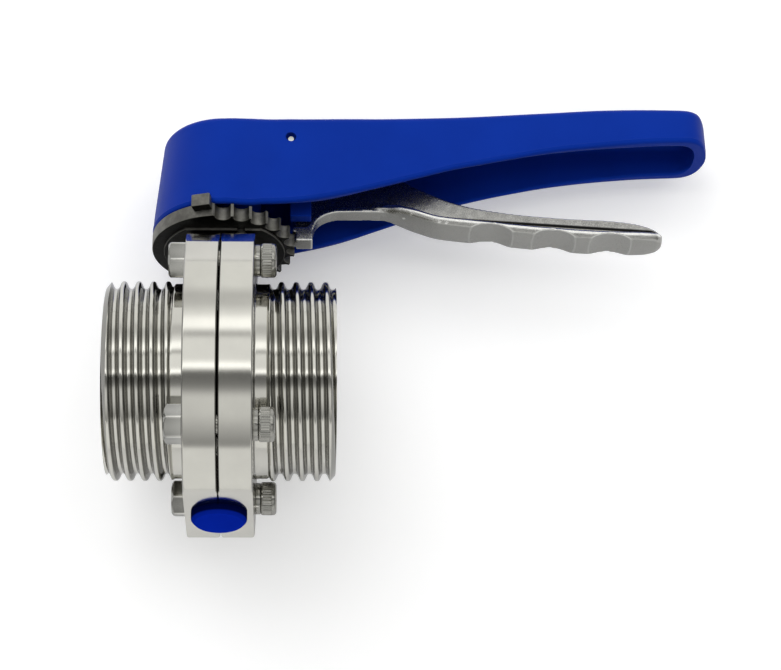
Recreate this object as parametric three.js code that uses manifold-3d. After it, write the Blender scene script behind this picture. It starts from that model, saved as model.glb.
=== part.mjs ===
// Sanitary butterfly valve, DN32, with male round threads on both ends.
// Two stainless body halves clamp a rubber seat ring. A one-piece disc and stem
// turns inside it, driven by a blue plastic handle whose steel trigger locks
// into a toothed index plate. Millimetres, +Z along the stem towards the handle,
// +X along the pipe, origin where the stem crosses the pipe's centre line.

import * as THREE from 'three';
import { mergeVertices } from 'three/addons/utils/BufferGeometryUtils.js';
import Module from 'manifold-3d';

const wasm = await Module();
wasm.setup();

// Body
const BORE_R = 16;
const END_X = 33;
const FLANGE_R = 45.15;
const FLANGE_T = 9.7;
const SPLIT_GAP = 0.22;
const NECK_R = 28.2;
const THREAD_START_X = 13.2;
const THREAD_CREST_R = 28.9;
const THREAD_ROOT_R = 26.75;
const THREAD_PITCH = 25.4 / 6;
const TOP_FLAT_Z = 42;
const BOTTOM_FLAT_Z = -42;
// Flats across the flange's top as [distance from the axis, degrees from +Z]
const SHOULDERS = [[44.09, 42.5], [42.18, 26]];
const POCKET_R = 7.95;
const STEM_HOLE_R = 5.4;

// Seat ring, disc and stem
const SEAT_R = 20.7;
const SEAT_HALF_T = 6.7;
const SEAT_BORE_R = 15.85;
const DISC_R = 15.6;
const STEM_R = 5;
const STEM_BOTTOM_Z = -36.4;
const STEM_SHOULDER_Z = 50;
const STEM_TOP_Z = 66;
const STEM_SQUARE = 7.6;

// Fasteners, M6 through the flanges
const BOLT_OFFSET = 36.5 * Math.SQRT1_2;
const BOLT_HOLE_R = 3.35;
const WASHER_T = 1.5;
const HEAD_H = 4.6;
const NUT_ACROSS_FLATS = 10;
const NUT_H = 5.1;
const NUT_TURN_DEG = [27, 4, 10, 17];
const SEATING_GAP = 0.05;

// Index plate
const PLATE_Z = 43.1;
const PLATE_TOP_Z = 47.6;
const RIM_R = 21.5;
const CREST_R = 20.9;
const VALLEY_ROUND_R = 2.33;
const TOOTH_PITCH_DEG = 15;
const LUG_ANGLE_DEG = 105.6;

// Handle
const HEAD_R = 21.5;
const SKIRT_Z = 47.85;
const END_WALL = 3.6;
const CEILING = 2.4;
const HANDLE_END_X = 146.5;

// Trigger
const PIVOT_X = 19.66;
const PIVOT_Z = 73.9;
const PIN_R = 1.1;
const NOSE_HALF_T = 2.75;
const WEB_HALF_T = 1.9;
const PAD_HALF_W = 5.8;

const STEEL = { color: 0xb1b4aa, roughness: 0.22, metalness: 1 };
const CAST = { color: 0x8c8b86, roughness: 0.45, metalness: 1 };
const BRIGHT = { color: 0xc4c4c0, roughness: 0.3, metalness: 1 };
const BLUE = { color: 0x15369f, roughness: 0.42, metalness: 0 };
const DARK_BLUE = { color: 0x09218b, roughness: 0.5, metalness: 0 };
const RUBBER = { color: 0x1b1b1c, roughness: 0.8, metalness: 0 };
const POLYMER = { color: 0xe8e6dd, roughness: 0.6, metalness: 0 };

// ---------------------------------------------------------------- solids

function signedVolume(positions, triangles) {
  let volume = 0;
  const [a, b, c] = [new THREE.Vector3(), new THREE.Vector3(), new THREE.Vector3()];
  for (let i = 0; i < triangles.length; i += 3) {
    a.fromArray(positions, 3 * triangles[i]);
    b.fromArray(positions, 3 * triangles[i + 1]);
    c.fromArray(positions, 3 * triangles[i + 2]);
    volume += a.dot(b.cross(c)) / 6;
  }
  return volume;
}

function solid(geometry) {
  const bare = geometry.clone();
  bare.deleteAttribute('normal');
  bare.deleteAttribute('uv');
  const merged = mergeVertices(bare, 1e-4);
  const positions = Float32Array.from(merged.attributes.position.array);
  const index = merged.index.array;
  const triangles = [];
  for (let i = 0; i < index.length; i += 3) {
    const [a, b, c] = [index[i], index[i + 1], index[i + 2]];
    if (a !== b && b !== c && c !== a) triangles.push(a, b, c);
  }
  if (signedVolume(positions, triangles) < 0) triangles.reverse();
  const triVerts = Uint32Array.from(triangles);
  return new wasm.Manifold(new wasm.Mesh({ numProp: 3, vertProperties: positions, triVerts }));
}

function geometryOf(manifold) {
  const mesh = manifold.getMesh();
  const geometry = new THREE.BufferGeometry();
  const positions = new Float32Array(mesh.numVert * 3);
  for (let i = 0; i < mesh.numVert; i += 1) {
    for (let k = 0; k < 3; k += 1) {
      positions[3 * i + k] = mesh.vertProperties[i * mesh.numProp + k];
    }
  }
  geometry.setAttribute('position', new THREE.BufferAttribute(positions, 3));
  geometry.setIndex(Array.from(mesh.triVerts));
  geometry.computeVertexNormals();
  return geometry;
}

// A solid of revolution. Each profile point is [distance along the axis, radius].
function turned(profile, axis, segments) {
  const points = profile.map(([along, radius]) => new THREE.Vector2(radius, along));
  const geometry = new THREE.LatheGeometry(points, segments);
  if (axis === 'x') geometry.rotateZ(-Math.PI / 2);
  if (axis === 'z') geometry.rotateX(Math.PI / 2);
  return solid(geometry);
}

function rod(axis, from, to, radius, segments = 24) {
  return turned([[from, 0], [from, radius], [to, radius], [to, 0]], axis, segments);
}

function tube(axis, from, to, inner, outer, segments) {
  const ring = [[from, inner], [from, outer], [to, outer], [to, inner], [from, inner]];
  return turned(ring, axis, segments);
}

function block(x0, x1, y0, y1, z0, z1) {
  const geometry = new THREE.BoxGeometry(x1 - x0, y1 - y0, z1 - z0);
  geometry.translate((x0 + x1) / 2, (y0 + y1) / 2, (z0 + z1) / 2);
  return solid(geometry);
}

// An outline in the XY plane, pushed up from z0 to z1.
function prism(points, z0, z1) {
  const shape = new THREE.Shape(points.map(([x, y]) => new THREE.Vector2(x, y)));
  const geometry = new THREE.ExtrudeGeometry(shape, { depth: z1 - z0, bevelEnabled: false });
  geometry.translate(0, 0, z0);
  return solid(geometry);
}

// A side outline in the XZ plane, pushed out to both sides of y = 0.
function sidePrism(points, halfWidth) {
  const shape = new THREE.Shape(points.map(([x, z]) => new THREE.Vector2(x, z)));
  const settings = { depth: 2 * halfWidth, bevelEnabled: false };
  const geometry = new THREE.ExtrudeGeometry(shape, settings);
  geometry.rotateX(Math.PI / 2);
  geometry.translate(0, halfWidth, 0);
  return solid(geometry);
}

// Rings of equal length joined one to the next, with strips from side to side across each end.
// Each ring runs along one side and back along its mirror image.
function loft(rings) {
  const count = rings[0].length;
  const index = [];
  for (let r = 0; r + 1 < rings.length; r += 1) {
    for (let i = 0; i < count; i += 1) {
      const a = r * count + i;
      const b = r * count + (i + 1) % count;
      index.push(a, b, b + count, a, b + count, a + count);
    }
  }
  for (const [start, flip] of [[0, true], [(rings.length - 1) * count, false]]) {
    for (let i = 0; i + 1 < count / 2; i += 1) {
      const [a, b] = [start + i, start + i + 1];
      const [c, d] = [start + count - 2 - i, start + count - 1 - i];
      index.push(...(flip ? [a, c, b, a, d, c] : [a, b, c, a, c, d]));
    }
  }
  const geometry = new THREE.BufferGeometry();
  geometry.setAttribute('position', new THREE.Float32BufferAttribute(rings.flat().flat(), 3));
  geometry.setIndex(index);
  return solid(geometry);
}

function cut(base, tools) {
  return tools.reduce((result, tool) => result.subtract(tool), base);
}

function join(base, extras) {
  return extras.reduce((result, extra) => result.add(extra), base);
}

function interpolate(table, x) {
  const last = table.length - 1;
  if (x <= table[0][0]) return table[0][1];
  for (let i = 0; i < last; i += 1) {
    const [x0, v0] = table[i];
    const [x1, v1] = table[i + 1];
    if (x <= x1) return v0 + (v1 - v0) * (x - x0) / (x1 - x0);
  }
  return table[last][1];
}

// ---------------------------------------------------------------- body

const THREAD_AROUND = 32;
const THREAD_PER_PITCH = 5;
const THREAD_FORM = [0, 0.16, 0.95, 0.95, 0.16];

// One right-hand round thread as a sheared grid, longer than the part needs.
function threadedBarrel(x0, turns, crestX) {
  const rows = turns * THREAD_PER_PITCH;
  const positions = [];
  const phase = ((x0 - crestX) / THREAD_PITCH) * THREAD_PER_PITCH + THREAD_PER_PITCH / 2;
  const shift = Math.round(phase);
  for (let row = 0; row <= rows; row += 1) {
    const step = (((row + shift) % THREAD_PER_PITCH) + THREAD_PER_PITCH) % THREAD_PER_PITCH;
    const radius = THREAD_ROOT_R + (THREAD_CREST_R - THREAD_ROOT_R) * THREAD_FORM[step];
    for (let i = 0; i < THREAD_AROUND; i += 1) {
      const turn = i / THREAD_AROUND;
      const along = x0 + (shift - phase) * THREAD_PITCH / THREAD_PER_PITCH;
      const x = along + THREAD_PITCH * (row / THREAD_PER_PITCH + turn);
      const angle = 2 * Math.PI * turn;
      positions.push(x, -radius * Math.sin(angle), radius * Math.cos(angle));
    }
  }
  const at = (row, i) => (i < THREAD_AROUND
    ? row * THREAD_AROUND + i
    : (row + THREAD_PER_PITCH) * THREAD_AROUND);
  const index = [];
  for (let row = 0; row < rows; row += 1) {
    for (let i = 0; i < THREAD_AROUND; i += 1) {
      if (i === THREAD_AROUND - 1 && row + 1 + THREAD_PER_PITCH > rows) continue;
      const [a, b, c, d] = [at(row, i), at(row, i + 1), at(row + 1, i + 1), at(row + 1, i)];
      index.push(a, b, c, a, c, d);
    }
  }
  closeHelix(positions, index, at, rows);
  const geometry = new THREE.BufferGeometry();
  geometry.setAttribute('position', new THREE.Float32BufferAttribute(positions, 3));
  geometry.setIndex(index);
  return solid(geometry);
}

// Fans from the axis across the stepped loop at each end of the grid.
function closeHelix(positions, index, at, rows) {
  const seam = THREAD_AROUND - 1;
  const first = [];
  for (let i = 0; i <= seam; i += 1) first.push(at(0, i));
  for (let row = THREAD_PER_PITCH; row > 0; row -= 1) first.push(at(row, 0));
  const last = [];
  for (let i = 0; i <= seam; i += 1) last.push(at(rows, i));
  for (let row = rows - 1; row >= rows - THREAD_PER_PITCH; row -= 1) last.push(at(row, seam));
  for (const [loop, flip] of [[first, true], [last, false]]) {
    const xs = loop.map((vertex) => positions[3 * vertex]);
    const hub = positions.length / 3;
    positions.push(xs.reduce((sum, x) => sum + x, 0) / xs.length, 0, 0);
    loop.forEach((vertex, i) => {
      const next = loop[(i + 1) % loop.length];
      index.push(...(flip ? [hub, next, vertex] : [hub, vertex, next]));
    });
  }
}

// side is -1 for the half towards -X and +1 for the half towards +X.
function bodyHalf(side, crestX) {
  const from = Math.min(side * (THREAD_START_X - 1), side * END_X);
  const overhang = 1.6 * THREAD_PITCH;
  const turns = Math.ceil((END_X - THREAD_START_X + 2 * overhang) / THREAD_PITCH) + 1;
  const thread = threadedBarrel(from - overhang, turns, crestX);
  const envelope = turned([
    [side * THREAD_START_X, 0],
    [side * THREAD_START_X, THREAD_ROOT_R + 0.4],
    [side * (THREAD_START_X + 2.2), THREAD_CREST_R + 0.3],
    [side * (END_X - 1.6), THREAD_CREST_R + 0.3],
    [side * END_X, THREAD_ROOT_R + 0.6],
    [side * END_X, 0],
  ], 'x', 32);
  const flange = turned([
    [side * SPLIT_GAP, 0],
    [side * SPLIT_GAP, FLANGE_R - 0.7],
    [side * (SPLIT_GAP + 0.7), FLANGE_R],
    [side * (FLANGE_T - 0.7), FLANGE_R],
    [side * FLANGE_T, FLANGE_R - 0.7],
    [side * FLANGE_T, NECK_R],
    [side * (THREAD_START_X + 0.2), NECK_R],
    [side * (THREAD_START_X + 0.9), THREAD_ROOT_R + 0.2],
    [side * (THREAD_START_X + 0.9), 0],
  ], 'x', 48);
  const blank = flange.add(thread.intersect(envelope));
  return cut(blank, [
    rod('x', -END_X - 1, END_X + 1, BORE_R, 32),
    rod('x', -SEAT_HALF_T - 0.3, SEAT_HALF_T + 0.3, SEAT_R + 0.3, 32),
    rod('z', BOTTOM_FLAT_Z - 5, TOP_FLAT_Z + 5, STEM_HOLE_R, 20),
    rod('z', 28.3, TOP_FLAT_Z + 5, POCKET_R, 24),
    rod('z', BOTTOM_FLAT_Z - 5, -26.7, POCKET_R, 24),
    block(-15, 15, -30, 30, TOP_FLAT_Z, 50),
    ...SHOULDERS.flatMap(([from, tilt]) => [-tilt, tilt].map((turn) => (
      block(-15, 15, -40, 40, from, from + 12).rotate(turn, 0, 0)))),
    block(-15, 15, -30, 30, -50, BOTTOM_FLAT_Z),
    ...boltPlaces().map(([y, z]) => boltHole(y, z)),
    ...platePlaces().map(([x, y]) => rod('z', 31, 50, 2.1, 12).translate(x, y, 0)),
  ]);
}

function boltPlaces() {
  return [[-1, 1], [-1, -1], [1, 1], [1, -1]].map(([y, z]) => [y * BOLT_OFFSET, z * BOLT_OFFSET]);
}

function boltHole(y, z) {
  return rod('x', -12, 12, BOLT_HOLE_R, 12).translate(0, y, z);
}

function platePlaces() {
  return [[-5.2, 12.2], [5.2, -12.2]];
}

// ---------------------------------------------------------------- seat and disc

function seatRing() {
  const ring = turned([
    [-SEAT_HALF_T, BORE_R],
    [-SEAT_HALF_T, SEAT_R],
    [SEAT_HALF_T, SEAT_R],
    [SEAT_HALF_T, BORE_R],
    [2.6, SEAT_BORE_R],
    [-2.6, SEAT_BORE_R],
    [-SEAT_HALF_T, BORE_R],
  ], 'x', 32);
  return cut(ring, [rod('z', -25, 25, STEM_HOLE_R, 20)]);
}

function discAndStem() {
  const disc = turned([
    [-3.3, 0],
    [-3.1, 8.5],
    [-1.3, DISC_R - 0.5],
    [-0.8, DISC_R],
    [0.8, DISC_R],
    [1.3, DISC_R - 0.5],
    [3.1, 8.5],
    [3.3, 0],
  ], 'y', 40);
  const journal = turned([
    [STEM_BOTTOM_Z, 0],
    [STEM_BOTTOM_Z, STEM_R - 0.5],
    [STEM_BOTTOM_Z + 0.5, STEM_R],
    [STEM_SHOULDER_Z, STEM_R],
    [STEM_SHOULDER_Z, 0],
  ], 'z', 32);
  const half = STEM_SQUARE / 2;
  const corner = 0.8;
  const square = prism([
    [half, corner - half], [half, half - corner], [half - corner, half], [corner - half, half],
    [-half, half - corner], [-half, corner - half], [corner - half, -half], [half - corner, -half],
  ], STEM_SHOULDER_Z - 0.5, STEM_TOP_Z);
  const tapped = rod('z', 50.5, STEM_TOP_Z + 1, 2.7, 16);
  return cut(join(disc, [journal, square]), [tapped]);
}

function bush(z0, z1) {
  return tube('z', z0, z1, STEM_R + 0.06, POCKET_R - 0.25, 32);
}

function stemRing() {
  const centre = (STEM_R + 0.3 + POCKET_R - 0.3) / 2;
  const thick = (POCKET_R - 0.3 - STEM_R - 0.3) / 2;
  const points = [];
  for (let i = 0; i <= 6; i += 1) {
    const angle = (i / 6) * 2 * Math.PI;
    points.push([40.4 + thick * Math.sin(angle), centre - thick * Math.cos(angle)]);
  }
  return turned(points, 'z', 20);
}

function bottomCap() {
  const [plug, head, seat] = [POCKET_R - 0.25, POCKET_R, BOTTOM_FLAT_Z - SEATING_GAP];
  return turned([
    [-39, 0], [-39, plug], [seat, plug], [seat, head], [-44.3, head], [-44.8, head - 0.5], [-45, 0],
  ], 'z', 32);
}

// ---------------------------------------------------------------- fasteners

function hexPoints(acrossFlats) {
  const radius = acrossFlats / Math.sqrt(3);
  return Array.from({ length: 6 }, (_, i) => {
    const angle = (i / 6) * 2 * Math.PI;
    return [radius * Math.cos(angle), radius * Math.sin(angle)];
  });
}

// Built along +Z with the underside of the head at z = 0, the shank pointing down.
function socketScrew(shankR, shankL, headR, headH, socket) {
  const body = turned([
    [-shankL, 0],
    [-shankL, shankR - 0.6],
    [-shankL + 0.6, shankR],
    [0, shankR],
    [0, headR - 0.3],
    [0.3, headR],
    [headH - 0.5, headR],
    [headH, headR - 0.5],
    [headH, 0],
  ], 'z', 20);
  return cut(body, [prism(hexPoints(socket), headH * 0.45, headH + 1)]);
}

function hexNut() {
  const blank = prism(hexPoints(NUT_ACROSS_FLATS), 0, NUT_H);
  const wide = NUT_ACROSS_FLATS / Math.sqrt(3);
  const flat = NUT_ACROSS_FLATS / 2;
  const dressing = turned([
    [0, 0], [0, wide + 0.2], [NUT_H - 0.9, wide + 0.2], [NUT_H, flat - 0.1], [NUT_H, 0],
  ], 'z', 24);
  return cut(blank.intersect(dressing), [rod('z', -1, NUT_H + 1, 3.15, 16)]);
}

// ---------------------------------------------------------------- index plate

// Half-toothed rim: narrow crests between round valleys, one valley at every pitch from -90 to 90.
function plateOutline() {
  const points = [];
  for (let valley = -90; valley <= 90; valley += TOOTH_PITCH_DEG) {
    const turn = THREE.MathUtils.degToRad(valley);
    for (let step = 0; step <= 6; step += 1) {
      const angle = turn - Math.PI * (0.5 + step / 6);
      points.push([
        CREST_R * Math.cos(turn) + VALLEY_ROUND_R * Math.cos(angle),
        CREST_R * Math.sin(turn) + VALLEY_ROUND_R * Math.sin(angle),
      ]);
    }
  }
  const reach = 90 + TOOTH_PITCH_DEG / 2;
  for (let degrees = reach; degrees <= 360 - reach; degrees += 7.5) {
    const angle = THREE.MathUtils.degToRad(degrees);
    points.push([RIM_R * Math.cos(angle), RIM_R * Math.sin(angle)]);
  }
  return points;
}

function stopLug(side) {
  const lug = join(block(18, 24.3, -2.8, 2.8, 45.2, 47.6), [
    block(21.9, 24.3, -2.8, 2.8, 45.2, 49.4),
  ]);
  return lug.rotate(0, 0, side * LUG_ANGLE_DEG);
}

function indexPlate() {
  const boss = rod('z', 42.3, PLATE_Z + 0.2, 18, 40);
  const saddle = boss.intersect(block(-19, 19, -14.1, 14.1, 42, 44));
  const plate = join(prism(plateOutline(), PLATE_Z, PLATE_TOP_Z), [
    saddle, stopLug(1), stopLug(-1),
  ]);
  const sinks = platePlaces().map(([x, y]) => turned([
    [41, 0], [41, 2.2], [44.6, 2.2], [PLATE_TOP_Z, 4.7], [48, 4.7], [48, 0],
  ], 'z', 16).translate(x, y, 0));
  return cut(plate, [rod('z', 41, 48, 5.5, 24), ...sinks]);
}

function plateScrew() {
  const body = turned([
    [32, 0], [32, 1.5], [32.5, 1.9], [44.4, 1.9], [47.1, 4.2], [47.4, 4.2], [47.4, 0],
  ], 'z', 16);
  return cut(body, [prism(hexPoints(2.5), 45.6, 48)]);
}

// ---------------------------------------------------------------- handle

const HALF_WIDTH = [
  [4, 21.12], [10, 19.1], [15, 17.6], [20, 16.8], [25, 16.3], [31, 15.9], [35, 15.6], [40, 15.1],
  [45, 14.5], [57, 13.4], [68, 12.5], [78, 11.95], [85, 11.75], [100, 11.65], [115, 11.5],
  [130, 11.6], [147, 11.4],
];
const TOP_Z = [
  [0, 79.1], [5, 79.4], [10, 80.2], [15, 80.9], [20, 81.4], [31, 81.9],
  [45, 82.7], [68, 84.4], [85, 85.8], [100, 86.85], [115, 87.9], [125, 88.1], [147, 88],
];
const BOTTOM_Z = [
  [5, SKIRT_Z], [8, 48.3], [10, 49], [12, 49.6], [15, 50.1], [20, 51], [27, 52.3],
  [35, 54.3], [45, 57.5], [60, 62.5], [68, 65.1], [78, 67.6], [85, 69.2], [100, 72.2],
  [115, 74.1], [130, 75.4], [147, 76],
];
const WALL = [
  [20, 2.2], [30, 2.8], [45, 2.2], [70, 2], [85, 2], [100, 2.5], [115, 2.8],
  [125, 3.3], [147, 3.5],
];
const DRAFT = [[0, 0.085], [5, 0.08], [20, 0.06], [45, 0.05], [70, 0.045], [147, 0.045]];
const STATIONS = [
  -21.4, -20.8, -19.4, -17, -13.5, -8.5, -3, 3, 8.5, 13.5, 17.5, 23, 30, 38, 46, 54, 62, 70, 80,
  92, 104, 116, 128, 136, 140.5, 143.5, 145.4, 146.4,
];

// Half the handle's width in plan at x. Depth is 0 for the outside of the wall and 1 for the inside.
function planHalfWidth(x, depth) {
  const wall = interpolate(WALL, x) * depth;
  const headR = HEAD_R - wall;
  const head = Math.abs(x) < headR ? Math.sqrt(headR * headR - x * x) : 0;
  let arm = x > 4 ? interpolate(HALF_WIDTH, x) - wall : 0;
  const nearEnd = HANDLE_END_X - END_WALL * depth - x;
  const round = 10 - 3 * depth;
  if (nearEnd < round) arm *= Math.sqrt(Math.max(0.0004, 1 - ((round - nearEnd) / round) ** 3.2));
  return Math.max(head, arm);
}

// The section across the handle at x. Behind the stem's axis the section at x = 0 is swept round it.
function handleRing(x, depth) {
  const at = Math.max(x, 0);
  const half = planHalfWidth(at, depth);
  const lip = interpolate(BOTTOM_Z, at);
  const z0 = depth > 0 ? 40 : lip;
  const edge = Math.min(2.4, half * 0.5);
  const nearEnd = HANDLE_END_X - END_WALL * depth - x;
  const rounding = nearEnd < 3 ? 3 - Math.sqrt(9 - (3 - nearEnd) ** 2) : 0;
  const z1 = interpolate(TOP_Z, at) - CEILING * depth - rounding;
  const lean = Math.min(interpolate(DRAFT, at) * (z1 - lip), half * 0.3);
  const profile = [
    [half, z0],
    [half, lip + 1.2],
    [half - lean * 0.5, (lip + z1) / 2],
    [half - lean, z1 - edge],
    [half - lean - edge * 0.29, z1 - edge * 0.29],
    [half - lean - edge, z1],
  ];
  const round = planHalfWidth(x, depth) / half;
  const points = (side) => profile.map(([y, z]) => (
    [x < 0 ? x * y / half : x, side * y * (x < 0 ? round : 1), z]));
  return [...points(1), ...points(-1).reverse()];
}

function handleSolid(depth) {
  const stations = STATIONS.map((x) => THREE.MathUtils.mapLinear(
    x, STATIONS[0], STATIONS.at(-1),
    STATIONS[0] + WALL[0][1] * depth, STATIONS.at(-1) - END_WALL * depth,
  ));
  return loft(stations.map((x) => handleRing(x, depth)));
}

function handleShell() {
  const shell = cut(handleSolid(0), [handleSolid(1)]);
  const inside = handleSolid(0.5);
  const both = (x0, x1, near, far, z0, z1) => [
    block(x0, x1, near, far, z0, z1), block(x0, x1, -far, -near, z0, z1),
  ];
  const ribs = [90, 142, 180, 218, 270].map((angle) => (
    block(9, 19.4, -1.2, 1.2, 56, 77).rotate(0, 0, angle)));
  const sideRibs = both(19.4, 20.6, 11, 16, 54, 78);
  const cheeks = [
    ...both(19.5, 25.8, 3.2, 6.8, 51.5, 80), ...both(16.4, 25.8, 3.2, 6.8, 67, 80),
  ];
  const boss = rod('z', 50.5, 77.6, 10.6, 32);
  const inner = [boss, ...ribs, ...sideRibs, ...cheeks].map((piece) => piece.intersect(inside));
  return cut(join(shell, inner), [
    prism(hexPoints(14.6), 50, 69.3),
    rod('z', 69, 75, 3.4, 16),
    rod('z', 71.6, 83, 8, 32),
    rod('y', -13.6, 13.6, PIN_R + 0.15, 16).translate(PIVOT_X, 0, PIVOT_Z),
    ...[-20, 13.5].map((y) => rod('y', y, y + 6.5, 1.6, 16).translate(PIVOT_X, 0, PIVOT_Z)),
    block(PIVOT_X - 4.2, PIVOT_X + 6, -3.2, 3.2, 68, 77.8),
  ]);
}

function hubInsert() {
  const blank = prism(hexPoints(14.2), 50.3, 69);
  const half = STEM_SQUARE / 2 + 0.15;
  return cut(blank, [block(-half, half, -half, half, 49, 66.3), rod('z', 60, 70, 3.3, 16)]);
}

function handleWasher() {
  return tube('z', 71.8, 73.2, 3.3, 6.4, 24);
}

function topPlug() {
  return turned([
    [77.2, 0], [77.2, 7.7], [78.9, 7.7], [79.3, 7.2], [79.4, 0],
  ], 'z', 32);
}

function pivotPin() {
  const length = 14.2;
  return turned([
    [-length, 0], [-length, PIN_R - 0.3], [-length + 0.3, PIN_R],
    [length - 0.3, PIN_R], [length, PIN_R - 0.3], [length, 0],
  ], 'y', 20).translate(PIVOT_X, 0, PIVOT_Z);
}

// ---------------------------------------------------------------- trigger

const WEB_OUTLINE = [
  [21.6, 46], [25.8, 46], [26.2, 49], [27.2, 51.8], [29, 53.7], [32.3, 55.1], [36, 55.4],
  [44, 55.5], [48.5, 55.4], [56, 53.2], [62, 51.8], [72, 50], [82, 48.4], [94, 47.2],
  [106, 46.3], [118, 46], [126, 46.1], [130, 46.8], [130.4, 48.6], [129.2, 49.9], [126.8, 51.2],
  [122, 52.5], [114, 53.4], [102, 54], [87, 55.4], [75, 57.4], [67.8, 59.6], [60, 63.2], [52, 67.4],
  [45, 70.6], [37, 73.1], [29, 75], [23.5, 76.1],
];
const FLANGE_OUTLINE = [
  [20.4, 45.4], [26.2, 45.4], [26.2, 49], [27.2, 51.8], [29, 53.7], [32.3, 55.1], [36, 55.4],
  [44, 55.5], [48.5, 55.2], [52, 54.3], [52, 56.2], [48.5, 56.9], [44, 57.1], [36, 57],
  [31.6, 56.6], [28, 55], [25.8, 52.5], [24.9, 50.3], [20.4, 50.2],
];

function eyeOutline() {
  const points = [];
  for (let degrees = 50; degrees <= 195; degrees += 24.2) {
    const angle = THREE.MathUtils.degToRad(degrees);
    points.push([PIVOT_X + 3.1 * Math.cos(angle), PIVOT_Z + 3.1 * Math.sin(angle)]);
  }
  return points;
}

const PAD_CENTRE = [
  [44, 55.4], [48, 55.1], [52, 54.1], [57, 52.3], [64, 50], [74, 48.7], [86, 47.3], [98, 46.1],
  [108, 45.3], [118, 44.9], [125, 44.9], [129.5, 45.2], [131, 45.8],
];
const PAD_WIDTH = [
  [44, 2.8], [48, 3.4], [52, 4.9], [57, PAD_HALF_W], [125, PAD_HALF_W], [129.5, 4.4], [131, 2.2],
];

// A finger pad with rounded edges, as a strip along the web.
function padRing(x) {
  const z = interpolate(PAD_CENTRE, x);
  const half = interpolate(PAD_WIDTH, x);
  const left = [
    [half - 0.9, 3], [half - 0.15, 2.4], [half, 1.6], [half - 0.35, 0.85], [half - 1.2, 0.3], [half * 0.4, 0.05],
  ];
  const points = (side) => left.map(([y, rise]) => [x, side * y, z + rise]);
  return [...points(1), ...points(-1).reverse()];
}

function triggerLever() {
  const web = sidePrism([...WEB_OUTLINE, ...eyeOutline(), [19.2, 64], [20.4, 58]], WEB_HALF_T);
  const flange = sidePrism(FLANGE_OUTLINE, NOSE_HALF_T);
  const pad = loft(PAD_CENTRE.map(([x]) => padRing(x)));
  const relief = block(18, 21.3, -4, 4, 44, 48.6);
  const tooth = prism([[21.5, -1.6], [21.5, 1.6], [19.3, 0.8], [19.3, -0.8]], 45.4, 48.8);
  const scallops = [78.5, 97.5, 115].map((x) => {
    const z = interpolate(PAD_CENTRE, x);
    return rod('y', -9, 9, 12, 40).translate(x, 0, z - 10.1);
  });
  return cut(join(web, [flange, pad]), [relief, ...scallops, pinBore()]).add(tooth);
}

function pinBore() {
  return rod('y', -5, 5, PIN_R + 0.1, 20).translate(PIVOT_X, 0, PIVOT_Z);
}

function returnSpring() {
  const [radius, wire, turns, from, to] = [3.2, 0.45, 4, 72, 79.6];
  class Coil extends THREE.Curve {
    getPoint(t, target = new THREE.Vector3()) {
      const angle = 2 * Math.PI * turns * t;
      return target.set(radius * Math.cos(angle), radius * Math.sin(angle), from + (to - from) * t);
    }
  }
  const section = new THREE.Shape(hexPoints(wire * Math.sqrt(3)).map(([x, y]) => (
    new THREE.Vector2(x, y))));
  const geometry = new THREE.ExtrudeGeometry(section, {
    steps: Math.round(turns * 10), extrudePath: new Coil(), bevelEnabled: false,
  });
  return solid(geometry).translate(43, 0, 0);
}

// ---------------------------------------------------------------- assembly

const valve = new THREE.Group();

function place(name, manifold, look, parent = valve) {
  const mesh = new THREE.Mesh(geometryOf(manifold), new THREE.MeshStandardMaterial(look));
  mesh.name = name;
  parent.add(mesh);
  return mesh;
}

place('body_half_left', bodyHalf(-1, -28.55), STEEL);
place('body_half_right', bodyHalf(1, 29.58), STEEL);
place('seat_ring', seatRing(), RUBBER);
place('disc_and_stem', discAndStem(), STEEL);
place('lower_bush', bush(-38.7, -27), POLYMER);
place('upper_bush', bush(28.6, 38.4), POLYMER);
place('stem_seal', stemRing(), RUBBER);
place('bottom_cap', bottomCap(), DARK_BLUE);
place('index_plate', indexPlate(), CAST);
platePlaces().forEach(([x, y], i) => {
  place(`plate_screw_${i + 1}`, plateScrew(), BRIGHT).position.set(x, y, 0);
});

boltPlaces().forEach(([y, z], i) => {
  const set = new THREE.Group();
  set.position.set(0, y, z);
  set.rotation.y = Math.PI / 2;
  valve.add(set);
  const washerZ = FLANGE_T + SEATING_GAP;
  const washer = tube('z', washerZ, washerZ + WASHER_T, 3.3, 4.7, 20);
  place(`washer_${i + 1}`, washer, BRIGHT, set);
  const headZ = washerZ + WASHER_T + SEATING_GAP;
  const screw = socketScrew(3, headZ + FLANGE_T + NUT_H - 0.3, 4.9, HEAD_H, 5);
  place(`cap_screw_${i + 1}`, screw, BRIGHT, set).position.z = headZ;
  const nut = place(`hex_nut_${i + 1}`, hexNut(), BRIGHT, set);
  nut.rotation.y = Math.PI;
  nut.rotation.z = Math.PI / 2 - THREE.MathUtils.degToRad(NUT_TURN_DEG[i]);
  nut.position.z = -FLANGE_T - SEATING_GAP;
});

place('handle_shell', handleShell(), BLUE);
place('hub_insert', hubInsert(), STEEL);
place('handle_washer', handleWasher(), BRIGHT);
place('handle_screw', socketScrew(2.6, 15, 5, 3.2, 4), BRIGHT).position.z = 73.3;
place('top_plug', topPlug(), BLUE);
place('pivot_pin', pivotPin(), BRIGHT);
place('return_spring', returnSpring(), STEEL);
place('trigger_lever', triggerLever(), CAST);

export default valve;
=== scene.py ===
"""DN32 sanitary butterfly valve: steel body, blue lever handle and cast trigger, lying on a pale table."""

import math

import bmesh
import bpy
from mathutils import Matrix, Vector


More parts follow.
